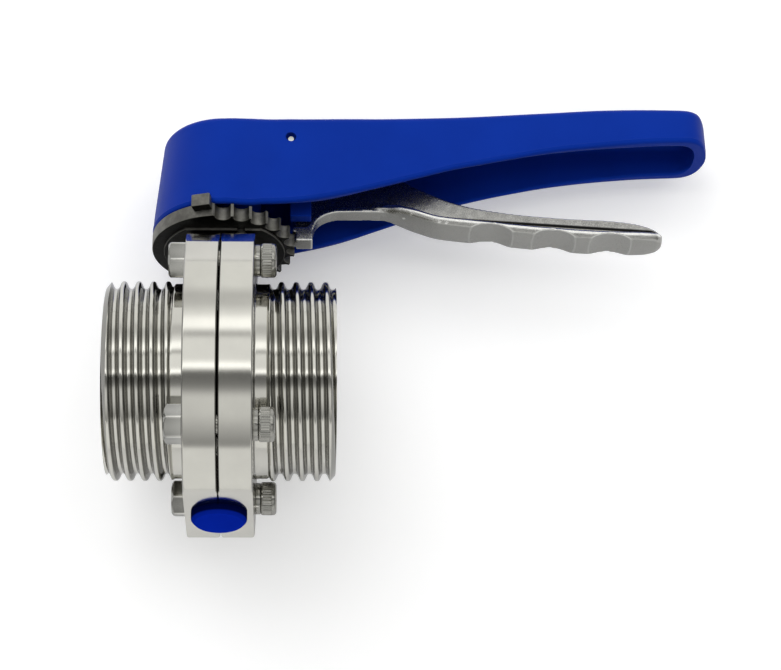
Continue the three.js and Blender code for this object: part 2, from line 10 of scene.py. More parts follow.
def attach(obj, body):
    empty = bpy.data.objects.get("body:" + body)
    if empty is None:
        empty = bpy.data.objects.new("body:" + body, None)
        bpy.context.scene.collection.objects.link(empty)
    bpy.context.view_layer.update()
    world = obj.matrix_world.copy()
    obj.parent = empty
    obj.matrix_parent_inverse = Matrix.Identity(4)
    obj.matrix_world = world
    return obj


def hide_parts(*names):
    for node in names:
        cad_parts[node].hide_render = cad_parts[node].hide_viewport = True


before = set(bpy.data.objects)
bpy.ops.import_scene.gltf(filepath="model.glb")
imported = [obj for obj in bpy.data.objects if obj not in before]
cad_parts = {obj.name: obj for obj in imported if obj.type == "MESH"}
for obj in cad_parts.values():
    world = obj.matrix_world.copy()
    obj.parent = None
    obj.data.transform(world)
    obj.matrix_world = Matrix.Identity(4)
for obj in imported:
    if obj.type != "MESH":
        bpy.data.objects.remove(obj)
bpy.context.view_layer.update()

MM = 0.001
TAU = 2 * math.pi

# Main sizes in millimetres, the same as the CAD solids or just inside them
BORE_R = 16.0
END_X = 33.0
FLANGE_R = 45.15
FLANGE_T = 9.7
NECK_R = 28.2
THREAD_START_X = 13.2
THREAD_CREST_R = 28.9
THREAD_ROOT_R = 26.75
THREAD_PITCH = 25.4 / 6
TOP_FLAT_Z = 42.0
BOTTOM_FLAT_Z = -42.0
# Flats across the flange's top as (distance from the axis, degrees from +Z)
SHOULDERS = [(44.09, 42.5), (42.18, 26.0)]
STEM_HOLE_R = 5.4
BOLT_HOLE_R = 3.35
POCKET_R = 7.95
BOLT_OFFSET = 36.5 * math.sqrt(0.5)
# Where the trigger turns, as (x, z)
PIVOT = (19.66, 73.9)


# -------------------- meshes

def new_object(name, verts, faces):
    """A closed mesh from points in millimetres, with its faces pointing out."""
    mesh = bpy.data.meshes.new(name)
    mesh.from_pydata([(x * MM, y * MM, z * MM) for x, y, z in verts], [], faces)
    obj = bpy.data.objects.new(name, mesh)
    bpy.context.scene.collection.objects.link(obj)
    tidy_mesh(obj)
    return obj


def band_faces(rings, count):
    """Quads that join each ring of count points to the next one."""
    faces = []
    for start in range(0, (rings - 1) * count, count):
        for i in range(count):
            a, b = start + i, start + (i + 1) % count
            faces.append((a, b, b + count, a + count))
    return faces


def tidy_mesh(obj):
    """Merges doubles and turns every face outwards."""
    bm = bmesh.new()
    bm.from_mesh(obj.data)
    bmesh.ops.remove_doubles(bm, verts=bm.verts, dist=2e-7)
    bmesh.ops.recalc_face_normals(bm, faces=bm.faces)
    bm.to_mesh(obj.data)
    bm.free()


def smooth(obj, angle=32):
    """Smooth shading with creases over the given angle."""
    obj.data.shade_smooth()
    obj.data.set_sharp_from_angle(angle=math.radians(angle))
    return obj


def rounded(corners, steps=5):
    """A polyline of (a, b, radius) corners with each corner rounded to its radius."""
    out = []
    count = len(corners)
    for i, (a, b, radius) in enumerate(corners):
        here = Vector((a, b))
        if radius <= 0 or i in (0, count - 1):
            out.append((a, b))
            continue
        back = (Vector(corners[i - 1][:2]) - here).normalized()
        ahead = (Vector(corners[i + 1][:2]) - here).normalized()
        half = back.angle(ahead) / 2
        if half > math.radians(89):
            out.append((a, b))
            continue
        reach = radius / math.tan(half)
        middle = here + (back + ahead).normalized() * (radius / math.sin(half))
        start, end = here + back * reach - middle, here + ahead * reach - middle
        sweep = start.angle_signed(end)
        for k in range(steps + 1):
            turn = Matrix.Rotation(-sweep * k / steps, 2)
            p = middle + turn @ start
            out.append((p.x, p.y))
    return out


def spin(name, profile, axis="x", steps=128, closed=False, radius_at=None):
    """A solid of revolution from (along, radius) points. radius_at(along, radius, angle) may reshape it."""
    rings, verts = [], []
    for along, radius in profile:
        if radius < 1e-6 and not closed:
            rings.append([len(verts)])
            verts.append(on_axis(axis, along, 0, 0))
            continue
        rings.append(list(range(len(verts), len(verts) + steps)))
        for k in range(steps):
            angle = TAU * k / steps
            r = radius_at(along, radius, angle) if radius_at else radius
            verts.append(on_axis(axis, along, r * math.cos(angle), r * math.sin(angle)))
    faces = []
    pairs = list(zip(rings, rings[1:])) + ([(rings[-1], rings[0])] if closed else [])
    for low, high in pairs:
        for k in range(steps):
            n = (k + 1) % steps
            if len(low) == 1 and len(high) == 1:
                continue
            if len(low) == 1:
                faces.append((low[0], high[n], high[k]))
            elif len(high) == 1:
                faces.append((low[k], low[n], high[0]))
            else:
                faces.append((low[k], low[n], high[n], high[k]))
    return new_object(name, verts, faces)


def on_axis(axis, along, u, v):
    """Angle 0 is +Z round the X axis, and +X round the Y and Z axes."""
    if axis == "x":
        return (along, -v, u)
    if axis == "y":
        return (u, along, v)
    return (u, v, along)


def rod(axis, low, high, radius, steps=64):
    return spin("cutter", [(low, 0), (low, radius), (high, radius), (high, 0)], axis, steps)


def block(x0, x1, y0, y1, z0, z1):
    verts = [(x, y, z) for x in (x0, x1) for y in (y0, y1) for z in (z0, z1)]
    faces = [(0, 1, 3, 2), (4, 6, 7, 5), (0, 4, 5, 1), (2, 3, 7, 6), (0, 2, 6, 4), (1, 5, 7, 3)]
    return new_object("cutter", verts, faces)


def prism(name, outline, z0, z1, bevel=0.0, steps=3):
    """An outline in the XY plane pushed up from z0 to z1, with rounded rims."""
    count = len(outline)
    levels = [(z0, 0.0), (z1, 0.0)]
    if bevel:
        arc = [math.pi / 2 * k / steps for k in range(steps + 1)]
        levels = [(z0 + bevel * (1 - math.sin(a)), bevel * (1 - math.cos(a))) for a in reversed(arc)]
        levels += [(z1 - bevel * (1 - math.sin(a)), bevel * (1 - math.cos(a))) for a in arc]
    normals = []
    for i in range(count):
        before, after = Vector(outline[i - 1]), Vector(outline[(i + 1) % count])
        edge = after - before
        normals.append(Vector((edge.y, -edge.x)).normalized())
    verts = []
    for z, inset in levels:
        for (x, y), n in zip(outline, normals):
            verts.append((x - n.x * inset, y - n.y * inset, z))
    faces = band_faces(len(levels), count)
    faces.append(tuple(reversed(range(count))))
    faces.append(tuple(range((len(levels) - 1) * count, len(levels) * count)))
    return new_object(name, verts, faces)


def loft(name, rings):
    """Rings of equal length joined one to the next, with strips from side to side across each end.
    Each ring runs along one side and back along its mirror image."""
    count = len(rings[0])
    verts = [p for ring in rings for p in ring]
    faces = band_faces(len(rings), count)
    for start, order in ((0, -1), ((len(rings) - 1) * count, 1)):
        for i in range(count // 2):
            strip = [start + k for k in (i, i + 1, count - 2 - i, count - 1 - i)]
            strip = list(dict.fromkeys(strip))[::order]
            if len(strip) > 2:
                faces.append(tuple(strip))
    return new_object(name, verts, faces)


def combine(target, others, operation):
    """Cuts or joins others into target and removes them."""
    for other in others:
        modifier = target.modifiers.new("cut", "BOOLEAN")
        modifier.operation = operation
        modifier.object = other
        modifier.solver = "MANIFOLD"
    apply_modifiers(target)
    for other in others:
        bpy.data.objects.remove(other)
    return target


def apply_modifiers(obj):
    bpy.context.view_layer.update()
    graph = bpy.context.evaluated_depsgraph_get()
    mesh = bpy.data.meshes.new_from_object(obj.evaluated_get(graph))
    obj.modifiers.clear()
    obj.data = mesh
    mesh.name = obj.name


def cut(target, others):
    return combine(target, others, "DIFFERENCE")


def join(target, others):
    return combine(target, others, "UNION")


def moved(obj, matrix):
    obj.data.transform(matrix)
    return obj


def shift(obj, x=0, y=0, z=0):
    return moved(obj, Matrix.Translation((x * MM, y * MM, z * MM)))


def turn_z(obj, degrees):
    return moved(obj, Matrix.Rotation(math.radians(degrees), 4, "Z"))


def curve_value(table, x):
    """A smooth curve through (x, value) pairs that doesn't overshoot."""
    xs = [p[0] for p in table]
    ys = [p[1] for p in table]
    if x <= xs[0]:
        return ys[0]
    if x >= xs[-1]:
        return ys[-1]
    slopes = [(ys[i + 1] - ys[i]) / (xs[i + 1] - xs[i]) for i in range(len(xs) - 1)]
    tangents = [slopes[0]]
    for a, b in zip(slopes, slopes[1:]):
        tangents.append(0 if a * b <= 0 else 2 * a * b / (a + b))
    tangents.append(slopes[-1])
    i = max(k for k in range(len(xs) - 1) if xs[k] <= x)
    h = xs[i + 1] - xs[i]
    t = (x - xs[i]) / h
    return (
        ys[i] * (1 + 2 * t) * (1 - t) ** 2
        + ys[i + 1] * t * t * (3 - 2 * t)
        + h * tangents[i] * t * (1 - t) ** 2
        + h * tangents[i + 1] * t * t * (t - 1)
    )


# -------------------- materials

BLACK = (0, 0, 0)
WHITE = (1, 1, 1)
# Painted shade for the corner of the lever's web above the pad
PAINTED_CORNER_SHADE = (0.01, 0.01, 0.01)
# The lever's masks: the pad's fall per length, the web's half thickness, where its painted corner
# shade starts and the inner side of the pad's rim, in millimetres
PAD_FALL = 0.066
WEB_HALF = 2.1
CORNER_START_X = 62
RIM_INNER = 3.2


def material(name):
    mat = bpy.data.materials.new(name)
    mat.use_nodes = True
    nodes = mat.node_tree.nodes
    return mat, nodes, mat.node_tree.links, nodes["Principled BSDF"]


def set_inputs(node, values):
    for name, value in values.items():
        node.inputs[name].default_value = value


def math_node(nodes, links, operation, *inputs):
    node = nodes.new("ShaderNodeMath")
    node.operation = operation
    for socket, value in zip(node.inputs, inputs):
        if isinstance(value, (int, float)):
            socket.default_value = value
        else:
            links.new(value, socket)
    return node.outputs[0]


def noise(nodes, links, vector, scale, detail=3.0, rough=0.55):
    node = nodes.new("ShaderNodeTexNoise")
    set_inputs(node, {"Scale": scale, "Detail": detail, "Roughness": rough})
    links.new(vector, node.inputs["Vector"])
    return node.outputs["Fac"]


def ramp(nodes, links, factor, stops):
    node = nodes.new("ShaderNodeValToRGB")
    elements = node.color_ramp.elements
    while len(elements) < len(stops):
        elements.new(0.5)
    for element, (position, colour) in zip(elements, stops):
        element.position = position
        element.color = (*colour, 1)
    links.new(factor, node.inputs["Fac"])
    return node.outputs["Color"]


def spread(nodes, links, factor, low, high):
    node = nodes.new("ShaderNodeMapRange")
    set_inputs(node, {"To Min": low, "To Max": high})
    links.new(factor, node.inputs["Value"])
    return node.outputs["Result"]


def bump(nodes, links, height, strength, distance, normal=None):
    node = nodes.new("ShaderNodeBump")
    set_inputs(node, {"Strength": strength, "Distance": distance})
    links.new(height, node.inputs["Height"])
    if normal:
        links.new(normal, node.inputs["Normal"])
    return node.outputs["Normal"]


def axes_of(nodes, links, vector):
    """The X, Y and Z outputs of a vector."""
    split = nodes.new("ShaderNodeSeparateXYZ")
    links.new(vector, split.inputs[0])
    return split.outputs


def own_normal(nodes, links):
    """The surface's direction in the piece's own axes."""
    return axes_of(nodes, links, nodes.new("ShaderNodeTexCoord").outputs["Normal"])


def tinted(nodes, links, mask, tone, colour):
    """The tone, turned to the colour where the mask is 1."""
    blend = nodes.new("ShaderNodeMix")
    blend.data_type = "RGBA"
    links.new(mask, blend.inputs["Factor"])
    links.new(tone, blend.inputs["A"])
    blend.inputs["B"].default_value = (*colour, 1)
    return blend.outputs["Result"]


def object_point(nodes):
    return nodes.new("ShaderNodeTexCoord").outputs["Object"]


def lathe_point(nodes, links, axis):
    """Object coordinates as (along the axis, distance from it, 0), for turning marks."""
    axes = axes_of(nodes, links, object_point(nodes))
    names = [n for n in "XYZ" if n != axis.upper()]
    squares = [math_node(nodes, links, "POWER", axes[n], 2.0) for n in names]
    radius = math_node(nodes, links, "SQRT", math_node(nodes, links, "ADD", *squares))
    joined = nodes.new("ShaderNodeCombineXYZ")
    links.new(axes[axis.upper()], joined.inputs["X"])
    links.new(radius, joined.inputs["Y"])
    return joined.outputs[0]


def turned_steel(name, axis, dark, light, rough, marks=1.0, painted_shade=None, edge=None):
    """Machined stainless steel with fine turning marks and faint stains. Faces that slope along X can be
    given painted shade, as on a thread's flanks, and sharp corners a painted highlight."""
    mat, nodes, links, shader = material(name)
    point = object_point(nodes)
    rings = lathe_point(nodes, links, axis)
    fine = noise(nodes, links, rings, 9000, 2.0)
    broad = noise(nodes, links, rings, 1400, 2.0)
    stain = noise(nodes, links, point, 55, 4.0)
    tone = ramp(nodes, links, stain, [(0.3, dark), (0.7, light)])
    # Painted shade: faces sloping along X, such as the thread's flanks, turned to a dark tone
    if painted_shade:
        slope = math_node(nodes, links, "ABSOLUTE", own_normal(nodes, links)["X"])
        sloping = ramp(nodes, links, slope, [(0.4, BLACK), (0.7, WHITE), (0.93, WHITE), (0.97, BLACK)])
        tone = tinted(nodes, links, sloping, tone, painted_shade)
    # Painted highlight: sharp corners turned to a bright tone
    if edge:
        pointed = nodes.new("ShaderNodeNewGeometry").outputs["Pointiness"]
        tone = tinted(nodes, links, ramp(nodes, links, pointed, [(0.54, BLACK), (0.58, WHITE)]), tone, edge)
    links.new(tone, shader.inputs["Base Color"])
    both = math_node(nodes, links, "ADD", math_node(nodes, links, "MULTIPLY", fine, 0.5),
                     math_node(nodes, links, "MULTIPLY", broad, 0.5))
    links.new(spread(nodes, links, both, rough - 0.03, rough + 0.05), shader.inputs["Roughness"])
    normal = bump(nodes, links, fine, 0.08 * marks, 0.00002)
    normal = bump(nodes, links, noise(nodes, links, point, 160, 3.0), 0.02, 0.0002, normal)
    links.new(normal, shader.inputs["Normal"])
    shader.inputs["Metallic"].default_value = 1.0
    return mat


def cast_steel(name, dark, light, rough, grain, under, worn=None):
    """Investment-cast stainless steel: satin, with a fine grain and a mottled tone. Faces that look
    down get a separate tone, which on the plate is painted shade, and raised edges can be given a bright tone
    of polish and painted highlight, with painted shade in the web's corner, as on the lever."""
    mat, nodes, links, shader = material(name)
    point = object_point(nodes)
    grit = noise(nodes, links, point, 2600, 5.0, 0.7)
    mottle = noise(nodes, links, point, 380, 5.0, 0.65)
    tone = ramp(nodes, links, mottle, [(0.3, dark), (0.68, light)])
    normal = axes_of(nodes, links, nodes.new("ShaderNodeNewGeometry").outputs["Normal"])
    facing = math_node(nodes, links, "MULTIPLY_ADD", normal["Z"], 0.5, 0.5)
    # Faces that look down take the under tone: painted shade on the index plate
    tone = tinted(nodes, links, ramp(nodes, links, facing, [(0.08, WHITE), (0.3, BLACK)]), tone, under)
    gloss = spread(nodes, links, grit, rough - 0.08, rough + 0.12)
    if worn:
        # Painted shade in the web's corner above the pad
        tone = tinted(nodes, links, painted_web_corner_shade(nodes, links), tone, PAINTED_CORNER_SHADE)
        # Sharp edges and the pad's rim turned bright: polish and painted highlight
        edge = nodes.new("ShaderNodeNewGeometry").outputs["Pointiness"]
        edge = ramp(nodes, links, edge, [(0.506, BLACK), (0.54, (0.6, 0.6, 0.6))])
        edge = math_node(nodes, links, "MAXIMUM", edge, pad_rim_polish_and_highlight(nodes, links))
        tone = tinted(nodes, links, edge, tone, worn)
        gloss = math_node(nodes, links, "MULTIPLY_ADD", edge, -0.06, gloss)
    links.new(tone, shader.inputs["Base Color"])
    links.new(gloss, shader.inputs["Roughness"])
    normal = bump(nodes, links, grit, 0.35 * grain, 0.00012)
    normal = bump(nodes, links, mottle, 0.25 * grain, 0.0004, normal)
    links.new(normal, shader.inputs["Normal"])
    shader.inputs["Metallic"].default_value = 1.0
    return mat


def off_middle(nodes, links):
    """Distance from the object's middle plane, in metres."""
    return math_node(nodes, links, "ABSOLUTE", axes_of(nodes, links, object_point(nodes))["Y"])


def painted_web_corner_shade(nodes, links):
    """A mask for painted shade in the corner on the lever's web, just above the finger pad, where the pad
    hides the web.
    """
    place = axes_of(nodes, links, object_point(nodes))
    height = math_node(nodes, links, "MULTIPLY_ADD", place["X"], PAD_FALL, place["Z"])
    level = math_node(nodes, links, "MULTIPLY_ADD", height, 100.0, -5.3)
    corner = ramp(nodes, links, level, [(0.43, BLACK), (0.46, WHITE), (0.53, WHITE), (0.57, BLACK)])
    web = math_node(nodes, links, "LESS_THAN", off_middle(nodes, links), WEB_HALF * MM)
    beyond = math_node(nodes, links, "GREATER_THAN", place["X"], CORNER_START_X * MM)
    return math_node(nodes, links, "MULTIPLY", corner, math_node(nodes, links, "MULTIPLY", web, beyond))


def pad_rim_polish_and_highlight(nodes, links):
    """A mask for the upper half of the finger pad's rim, which fingers polish; its bright tone is also a
    painted highlight.
    """
    far = math_node(nodes, links, "GREATER_THAN", off_middle(nodes, links), RIM_INNER * MM)
    facing = math_node(nodes, links, "MULTIPLY_ADD", own_normal(nodes, links)["Z"], 0.5, 0.5)
    upper = ramp(nodes, links, facing, [(0.42, BLACK), (0.48, WHITE)])
    return math_node(nodes, links, "MULTIPLY", far, upper)


def moulded_plastic(name, dark, light, rough, sheen, gloss=0.1, painted_shade=None):
    """Satin moulded plastic: a faint tinted sheen, flow marks, fine scuffs and a slight orange peel.
    Upright faces can be given painted shade."""
    mat, nodes, links, shader = material(name)
    point = object_point(nodes)
    flow = noise(nodes, links, point, 45, 4.0)
    peel = noise(nodes, links, point, 900, 3.0)
    stretched = nodes.new("ShaderNodeMapping")
    set_inputs(stretched, {"Scale": (60, 900, 900), "Rotation": (0.1, 0.25, 0.15)})
    links.new(point, stretched.inputs["Vector"])
    scuff = noise(nodes, links, stretched.outputs["Vector"], 3.0, 4.0, 0.6)
    scuff_mask = ramp(nodes, links, scuff, [(0.68, BLACK), (0.82, WHITE)])
    tone = ramp(nodes, links, flow, [(0.3, dark), (0.7, light)])
    pale = tuple(min(1.0, c * 1.6 + 0.01) for c in light)
    tone = tinted(nodes, links, math_node(nodes, links, "MULTIPLY", scuff_mask, 0.25), tone, pale)
    # Painted shade: upright faces turned to a dark tone
    if painted_shade:
        level = math_node(nodes, links, "ABSOLUTE", own_normal(nodes, links)["Z"])
        tone = tinted(nodes, links, ramp(nodes, links, level, [(0.35, WHITE), (0.8, BLACK)]), tone, painted_shade)
    links.new(tone, shader.inputs["Base Color"])
    worn = math_node(nodes, links, "ADD", spread(nodes, links, flow, rough - 0.04, rough + 0.05),
                     math_node(nodes, links, "MULTIPLY", scuff_mask, 0.1))
    links.new(worn, shader.inputs["Roughness"])
    normal = bump(nodes, links, peel, 0.05, 0.0002)
    normal = bump(nodes, links, scuff_mask, 0.1, 0.00004, normal)
    links.new(normal, shader.inputs["Normal"])
    set_inputs(shader, {"Specular IOR Level": gloss, "Specular Tint": (*sheen, 1)})
    return mat


def elastomer(name):
    """Dull black rubber with a little dust."""
    mat, nodes, links, shader = material(name)
    point = object_point(nodes)
    dust = noise(nodes, links, point, 300, 4.0)
    links.new(ramp(nodes, links, dust, [(0.3, (0.008, 0.008, 0.008)), (0.75, (0.03, 0.03, 0.031))]),
              shader.inputs["Base Color"])
    links.new(spread(nodes, links, dust, 0.5, 0.75), shader.inputs["Roughness"])
    links.new(bump(nodes, links, noise(nodes, links, point, 1500, 3.0), 0.2, 0.0001), shader.inputs["Normal"])
    return mat


# Painted highlight for the sharp corners of screws and nuts
PAINTED_EDGE_HIGHLIGHT = (0.85, 0.84, 0.8)
# The thread's flanks get painted shade
BODY_STEEL = turned_steel("body_steel", "x", (0.60, 0.59, 0.55), (0.68, 0.67, 0.62), 0.1,
                          painted_shade=(0.31, 0.306, 0.287))
STEM_STEEL = turned_steel("stem_steel", "z", (0.58, 0.57, 0.54), (0.66, 0.65, 0.61), 0.2)
DISC_STEEL = turned_steel("disc_steel", "y", (0.60, 0.59, 0.56), (0.68, 0.67, 0.63), 0.14)
SCREW_STEEL = turned_steel("screw_steel", "z", (0.30, 0.30, 0.28), (0.42, 0.41, 0.38), 0.18, 1.5,
                           edge=PAINTED_EDGE_HIGHLIGHT)
NUT_STEEL = turned_steel("nut_steel", "z", (0.26, 0.26, 0.245), (0.36, 0.36, 0.34), 0.17, 1.5,
                         edge=PAINTED_EDGE_HIGHLIGHT)
PIN_STEEL = turned_steel("pin_steel", "y", (0.6, 0.6, 0.58), (0.75, 0.75, 0.72), 0.25)
# The plate's down-facing faces are painted near black as shade
PLATE_STEEL = cast_steel("plate_steel", (0.12, 0.118, 0.108), (0.24, 0.235, 0.215), 0.42, 1.0,
                         under=(0.006, 0.006, 0.0055))
# The worn tone is polish and painted highlight on the lever's edges and pad rim
LEVER_STEEL = cast_steel("lever_steel", (0.29, 0.29, 0.28), (0.45, 0.445, 0.43), 0.24, 0.8,
                         under=(0.32, 0.32, 0.305), worn=(0.97, 0.97, 0.95))
HANDLE_BLUE = moulded_plastic("handle_blue", (0.0027, 0.0235, 0.258), (0.0031, 0.0275, 0.295), 0.42,
                              (0.12, 0.3, 1.0))
# The cap's upright side gets painted shade
CAP_BLUE = moulded_plastic("cap_blue", (0.002, 0.018, 0.36), (0.0026, 0.022, 0.43), 0.42,
                           (0.08, 0.25, 1.0), gloss=0.0, painted_shade=(0.0005, 0.003, 0.045))
RUBBER = elastomer("seat_rubber")
POLYMER = moulded_plastic("bush_polymer", (0.62, 0.6, 0.52), (0.72, 0.7, 0.62), 0.5, WHITE)


def finish_piece(obj, body, mat, slot, *nodes, angle=32):
    """Shades, paints and mounts a finished piece, and hides the CAD nodes it stands for."""
    obj.data.materials.clear()
    obj.data.materials.append(mat)
    smooth(obj, angle)
    weighted = obj.modifiers.new("weighted", "WEIGHTED_NORMAL")
    weighted.keep_sharp = True
    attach(obj, body)
    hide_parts(*nodes)
    return obj


# -------------------- body

def thread_form(phase):
    """Height of the round thread, 0 in the root and 1 on the crest, over one pitch."""
    x = abs((phase + 0.5) % 1.0 - 0.5) * 2
    flat = 0.5 * (1 + math.cos(math.pi * x))
    return flat * flat * (3 - 2 * flat)


def thread_radius(crest_x):
    """Radius over the thread, fading into the neck at its start."""
    def radius_at(along, radius, angle):
        if abs(along) < THREAD_START_X - 0.01 or radius < THREAD_ROOT_R - 0.5:
            return radius
        if abs(along) > END_X - 0.001:
            return radius
        phase = (along - crest_x) / THREAD_PITCH - angle / TAU
        wave = THREAD_ROOT_R + (THREAD_CREST_R - THREAD_ROOT_R) * thread_form(phase)
        start = min(1.0, max(0.0, (abs(along) - THREAD_START_X) / 1.3))
        start = start * start * (3 - 2 * start)
        value = NECK_R * (1 - start) + wave * start
        chamfer = THREAD_ROOT_R + 0.45 + (END_X - abs(along)) * 1.15
        return min(value, chamfer)
    return radius_at


def body_half(name, side, crest_x):
    """One stainless half: flange disc, neck, round male thread, bore and seat pocket."""
    outside = rounded([
        (0.23, 21.0, 0), (0.23, FLANGE_R - 0.4, 0), (0.55, FLANGE_R, 0.25),
        (FLANGE_T, FLANGE_R, 0.6), (FLANGE_T, NECK_R, 0.7), (THREAD_START_X - 0.4, NECK_R, 0),
    ])
    rows = 84
    length = END_X - 0.02 - THREAD_START_X
    thread = [(THREAD_START_X + length * k / rows, THREAD_CREST_R) for k in range(rows + 1)]
    inside = rounded([
        (END_X, THREAD_ROOT_R + 0.4, 0), (END_X, BORE_R + 3.6, 0.3), (END_X - 1.2, BORE_R + 3.6, 0.4),
        (END_X - 1.2, BORE_R, 0.5), (7.0, BORE_R, 0), (7.0, 21.0, 0),
    ])
    profile = [(side * a, r) for a, r in outside + thread + inside]
    half = spin(name, profile, "x", 192, closed=True, radius_at=thread_radius(crest_x))
    cutters = [
        rod("z", -50, 50, STEM_HOLE_R, 48),
        rod("z", 28.3, 50, POCKET_R, 64),
        rod("z", -50, -26.7, POCKET_R, 64),
        block(-15, 15, -30, 30, TOP_FLAT_Z, 50),
        block(-15, 15, -30, 30, -50, BOTTOM_FLAT_Z),
    ]
    for start, tilt in SHOULDERS:
        for turn in (-tilt, tilt):
            slab = block(-15, 15, -40, 40, start, start + 12)
            cutters.append(moved(slab, Matrix.Rotation(math.radians(turn), 4, "X")))
    for y in (-BOLT_OFFSET, BOLT_OFFSET):
        for z in (-BOLT_OFFSET, BOLT_OFFSET):
            cutters.append(shift(rod("x", -12, 12, BOLT_HOLE_R, 32), 0, y, z))
    cut(half, cutters)
    return finish_piece(half, "body", BODY_STEEL, "polished_steel", name.replace("_shape", ""))


body_half("body_half_left_shape", -1, -28.55)
body_half("body_half_right_shape", 1, 29.58)


def seat_ring():
    """The rubber seat between the halves, with two holes for the stem."""
    profile = rounded([
        (-6.7, 18.0, 0), (-6.7, 20.7, 0.3), (6.7, 20.7, 0.3), (6.7, BORE_R, 0.4),
        (2.6, 15.87, 0.6), (-2.6, 15.87, 0.6), (-6.7, BORE_R, 0.4), (-6.7, 18.0, 0),
    ])
    ring = spin("seat_ring_shape", profile[:-1], "x", 160, closed=True)
    cut(ring, [rod("z", -25, 25, STEM_HOLE_R, 48)])
    finish_piece(ring, "body", RUBBER, "seat_rubber", "seat_ring")


def disc_and_stem():
    """The open disc with its stem, square at the top and drilled for the handle's screw."""
    disc = spin("disc_and_stem_shape", rounded([
        (-3.3, 0, 0), (-3.2, 7.5, 3), (-1.25, 15.1, 0.4), (-0.9, 15.6, 0.4),
        (0.9, 15.6, 0.4), (1.25, 15.1, 0.4), (3.2, 7.5, 3), (3.3, 0, 0),
    ]), "y", 160)
    stem = spin("stem", rounded([
        (-36.4, 0, 0), (-36.4, 5, 0.5), (50, 5, 0.4), (50, 0, 0),
    ]), "z", 96)
    square = prism("square", rounded_square(3.8, 0.8), 49.8, 66, 0.3)
    join(disc, [stem, square])
    cut(disc, [rod("z", 50.6, 67, 2.7, 32)])
    finish_piece(disc, "handle", DISC_STEEL, "polished_steel", "disc_and_stem")


def rounded_square(half, radius):
    """Outline of a square with rounded corners."""
    points, steps = [], 5
    for quarter in range(4):
        for k in range(steps + 1):
            angle = math.pi / 2 * (quarter + k / steps)
            cx = (half - radius) * (1 if quarter in (0, 3) else -1)
            cy = (half - radius) * (1 if quarter in (0, 1) else -1)
            points.append((cx + radius * math.cos(angle), cy + radius * math.sin(angle)))
    return points


def bottom_cap():
    """Blue plug with a low domed head under the flanges."""
    cap = spin("bottom_cap_shape", rounded([
        (-39, 0, 0), (-39, 7.7, 0.2), (-42.05, 7.7, 0), (-42.05, 7.95, 0), (-43.5, 7.95, 1.0),
        (-44.8, 6.7, 1.2), (-45, 3.5, 3), (-45, 0, 0),
    ]), "z", 96)
    finish_piece(cap, "body", CAP_BLUE, "cap_blue", "bottom_cap")


seat_ring()
disc_and_stem()
bottom_cap()


# -------------------- fasteners

def hexagon(across_flats, angle):
    """Distance from the centre to a hexagon's side in that direction."""
    sixth = math.pi / 3
    return across_flats / 2 / math.cos((angle + math.pi) % sixth - sixth / 2)


def socket_head(name, shank_r, shank_l, head_r, head_h, socket):
    """A hexagon-socket screw along +Z with a knurled head, underside of the head at z = 0."""
    steps, knurls = 216, 36
    rows = [
        (-shank_l, 0, "plain"), (-shank_l, shank_r - 0.7, "plain"), (-shank_l + 0.7, shank_r, "plain"),
        (0, shank_r, "plain"), (0, head_r - 0.5, "plain"), (0.12, head_r - 0.2, "plain"),
        (0.4, head_r, "plain"), (0.55, head_r, "plain"), (0.7, head_r, "knurl"),
        (head_h - 1.5, head_r, "knurl"), (head_h - 1.35, head_r, "plain"),
        (head_h - 0.95, head_r, "plain"), (head_h - 0.5, head_r - 0.13, "plain"),
        (head_h - 0.14, head_r - 0.5, "plain"), (head_h, head_r - 0.95, "plain"),
        (head_h, socket / 2 + 0.75, "plain"), (head_h - 0.25, socket / 2 + 0.05, "hex"),
        (head_h * 0.45, socket / 2, "hex"), (head_h * 0.38, 0, "plain"),
    ]

    def radius_at(along, radius, angle):
        kind = next(k for a, r, k in rows if a == along and r == radius)
        if kind == "hex":
            return hexagon(2 * radius, angle)
        if kind == "knurl":
            return radius - 0.2 * (0.5 - 0.5 * math.cos(knurls * angle))
        return radius

    return spin(name, [(a, r) for a, r, _ in rows], "z", steps, radius_at=radius_at)


def hex_nut(name, across_flats, height, bore):
    """A nut along +Z with rounded corners, a domed outer face and a bevelled thread mouth."""
    steps, levels = 144, 8
    flat = across_flats / 2
    verts, faces = [], []
    for k in range(steps):
        angle = TAU * k / steps
        side = min(hexagon(across_flats, angle), flat * 1.135)
        drop = max(0.0, side - flat) * 0.75
        top = height - 0.25 - drop
        ring = [
            (bore + 0.35, 0), (side - 0.15, 0), (side, 0.2), (side, top - 0.3),
            (side - 0.12, top), (side - 0.4, top + 0.25 * (height - top)),
            (flat - 0.5, height), (bore + 0.4, height),
        ]
        for radius, z in ring:
            verts.append((radius * math.cos(angle), radius * math.sin(angle), z))
    for k in range(steps):
        for i in range(levels):
            a, b = k * levels + i, ((k + 1) % steps) * levels + i
            j = (i + 1) % levels - i
            faces.append((a, b, b + j, a + j))
    return new_object(name, verts, faces)


def washer(name, inner, outer, z0, z1):
    """A flat ring along Z with rounded rims."""
    profile = rounded([
        (z0, (inner + outer) / 2, 0), (z0, outer, 0.15), (z1, outer, 0.25),
        (z1, inner, 0.2), (z0, inner, 0.1), (z0, (inner + outer) / 2, 0),
    ], 3)
    return spin(name, profile[:-1], "z", 96, closed=True)


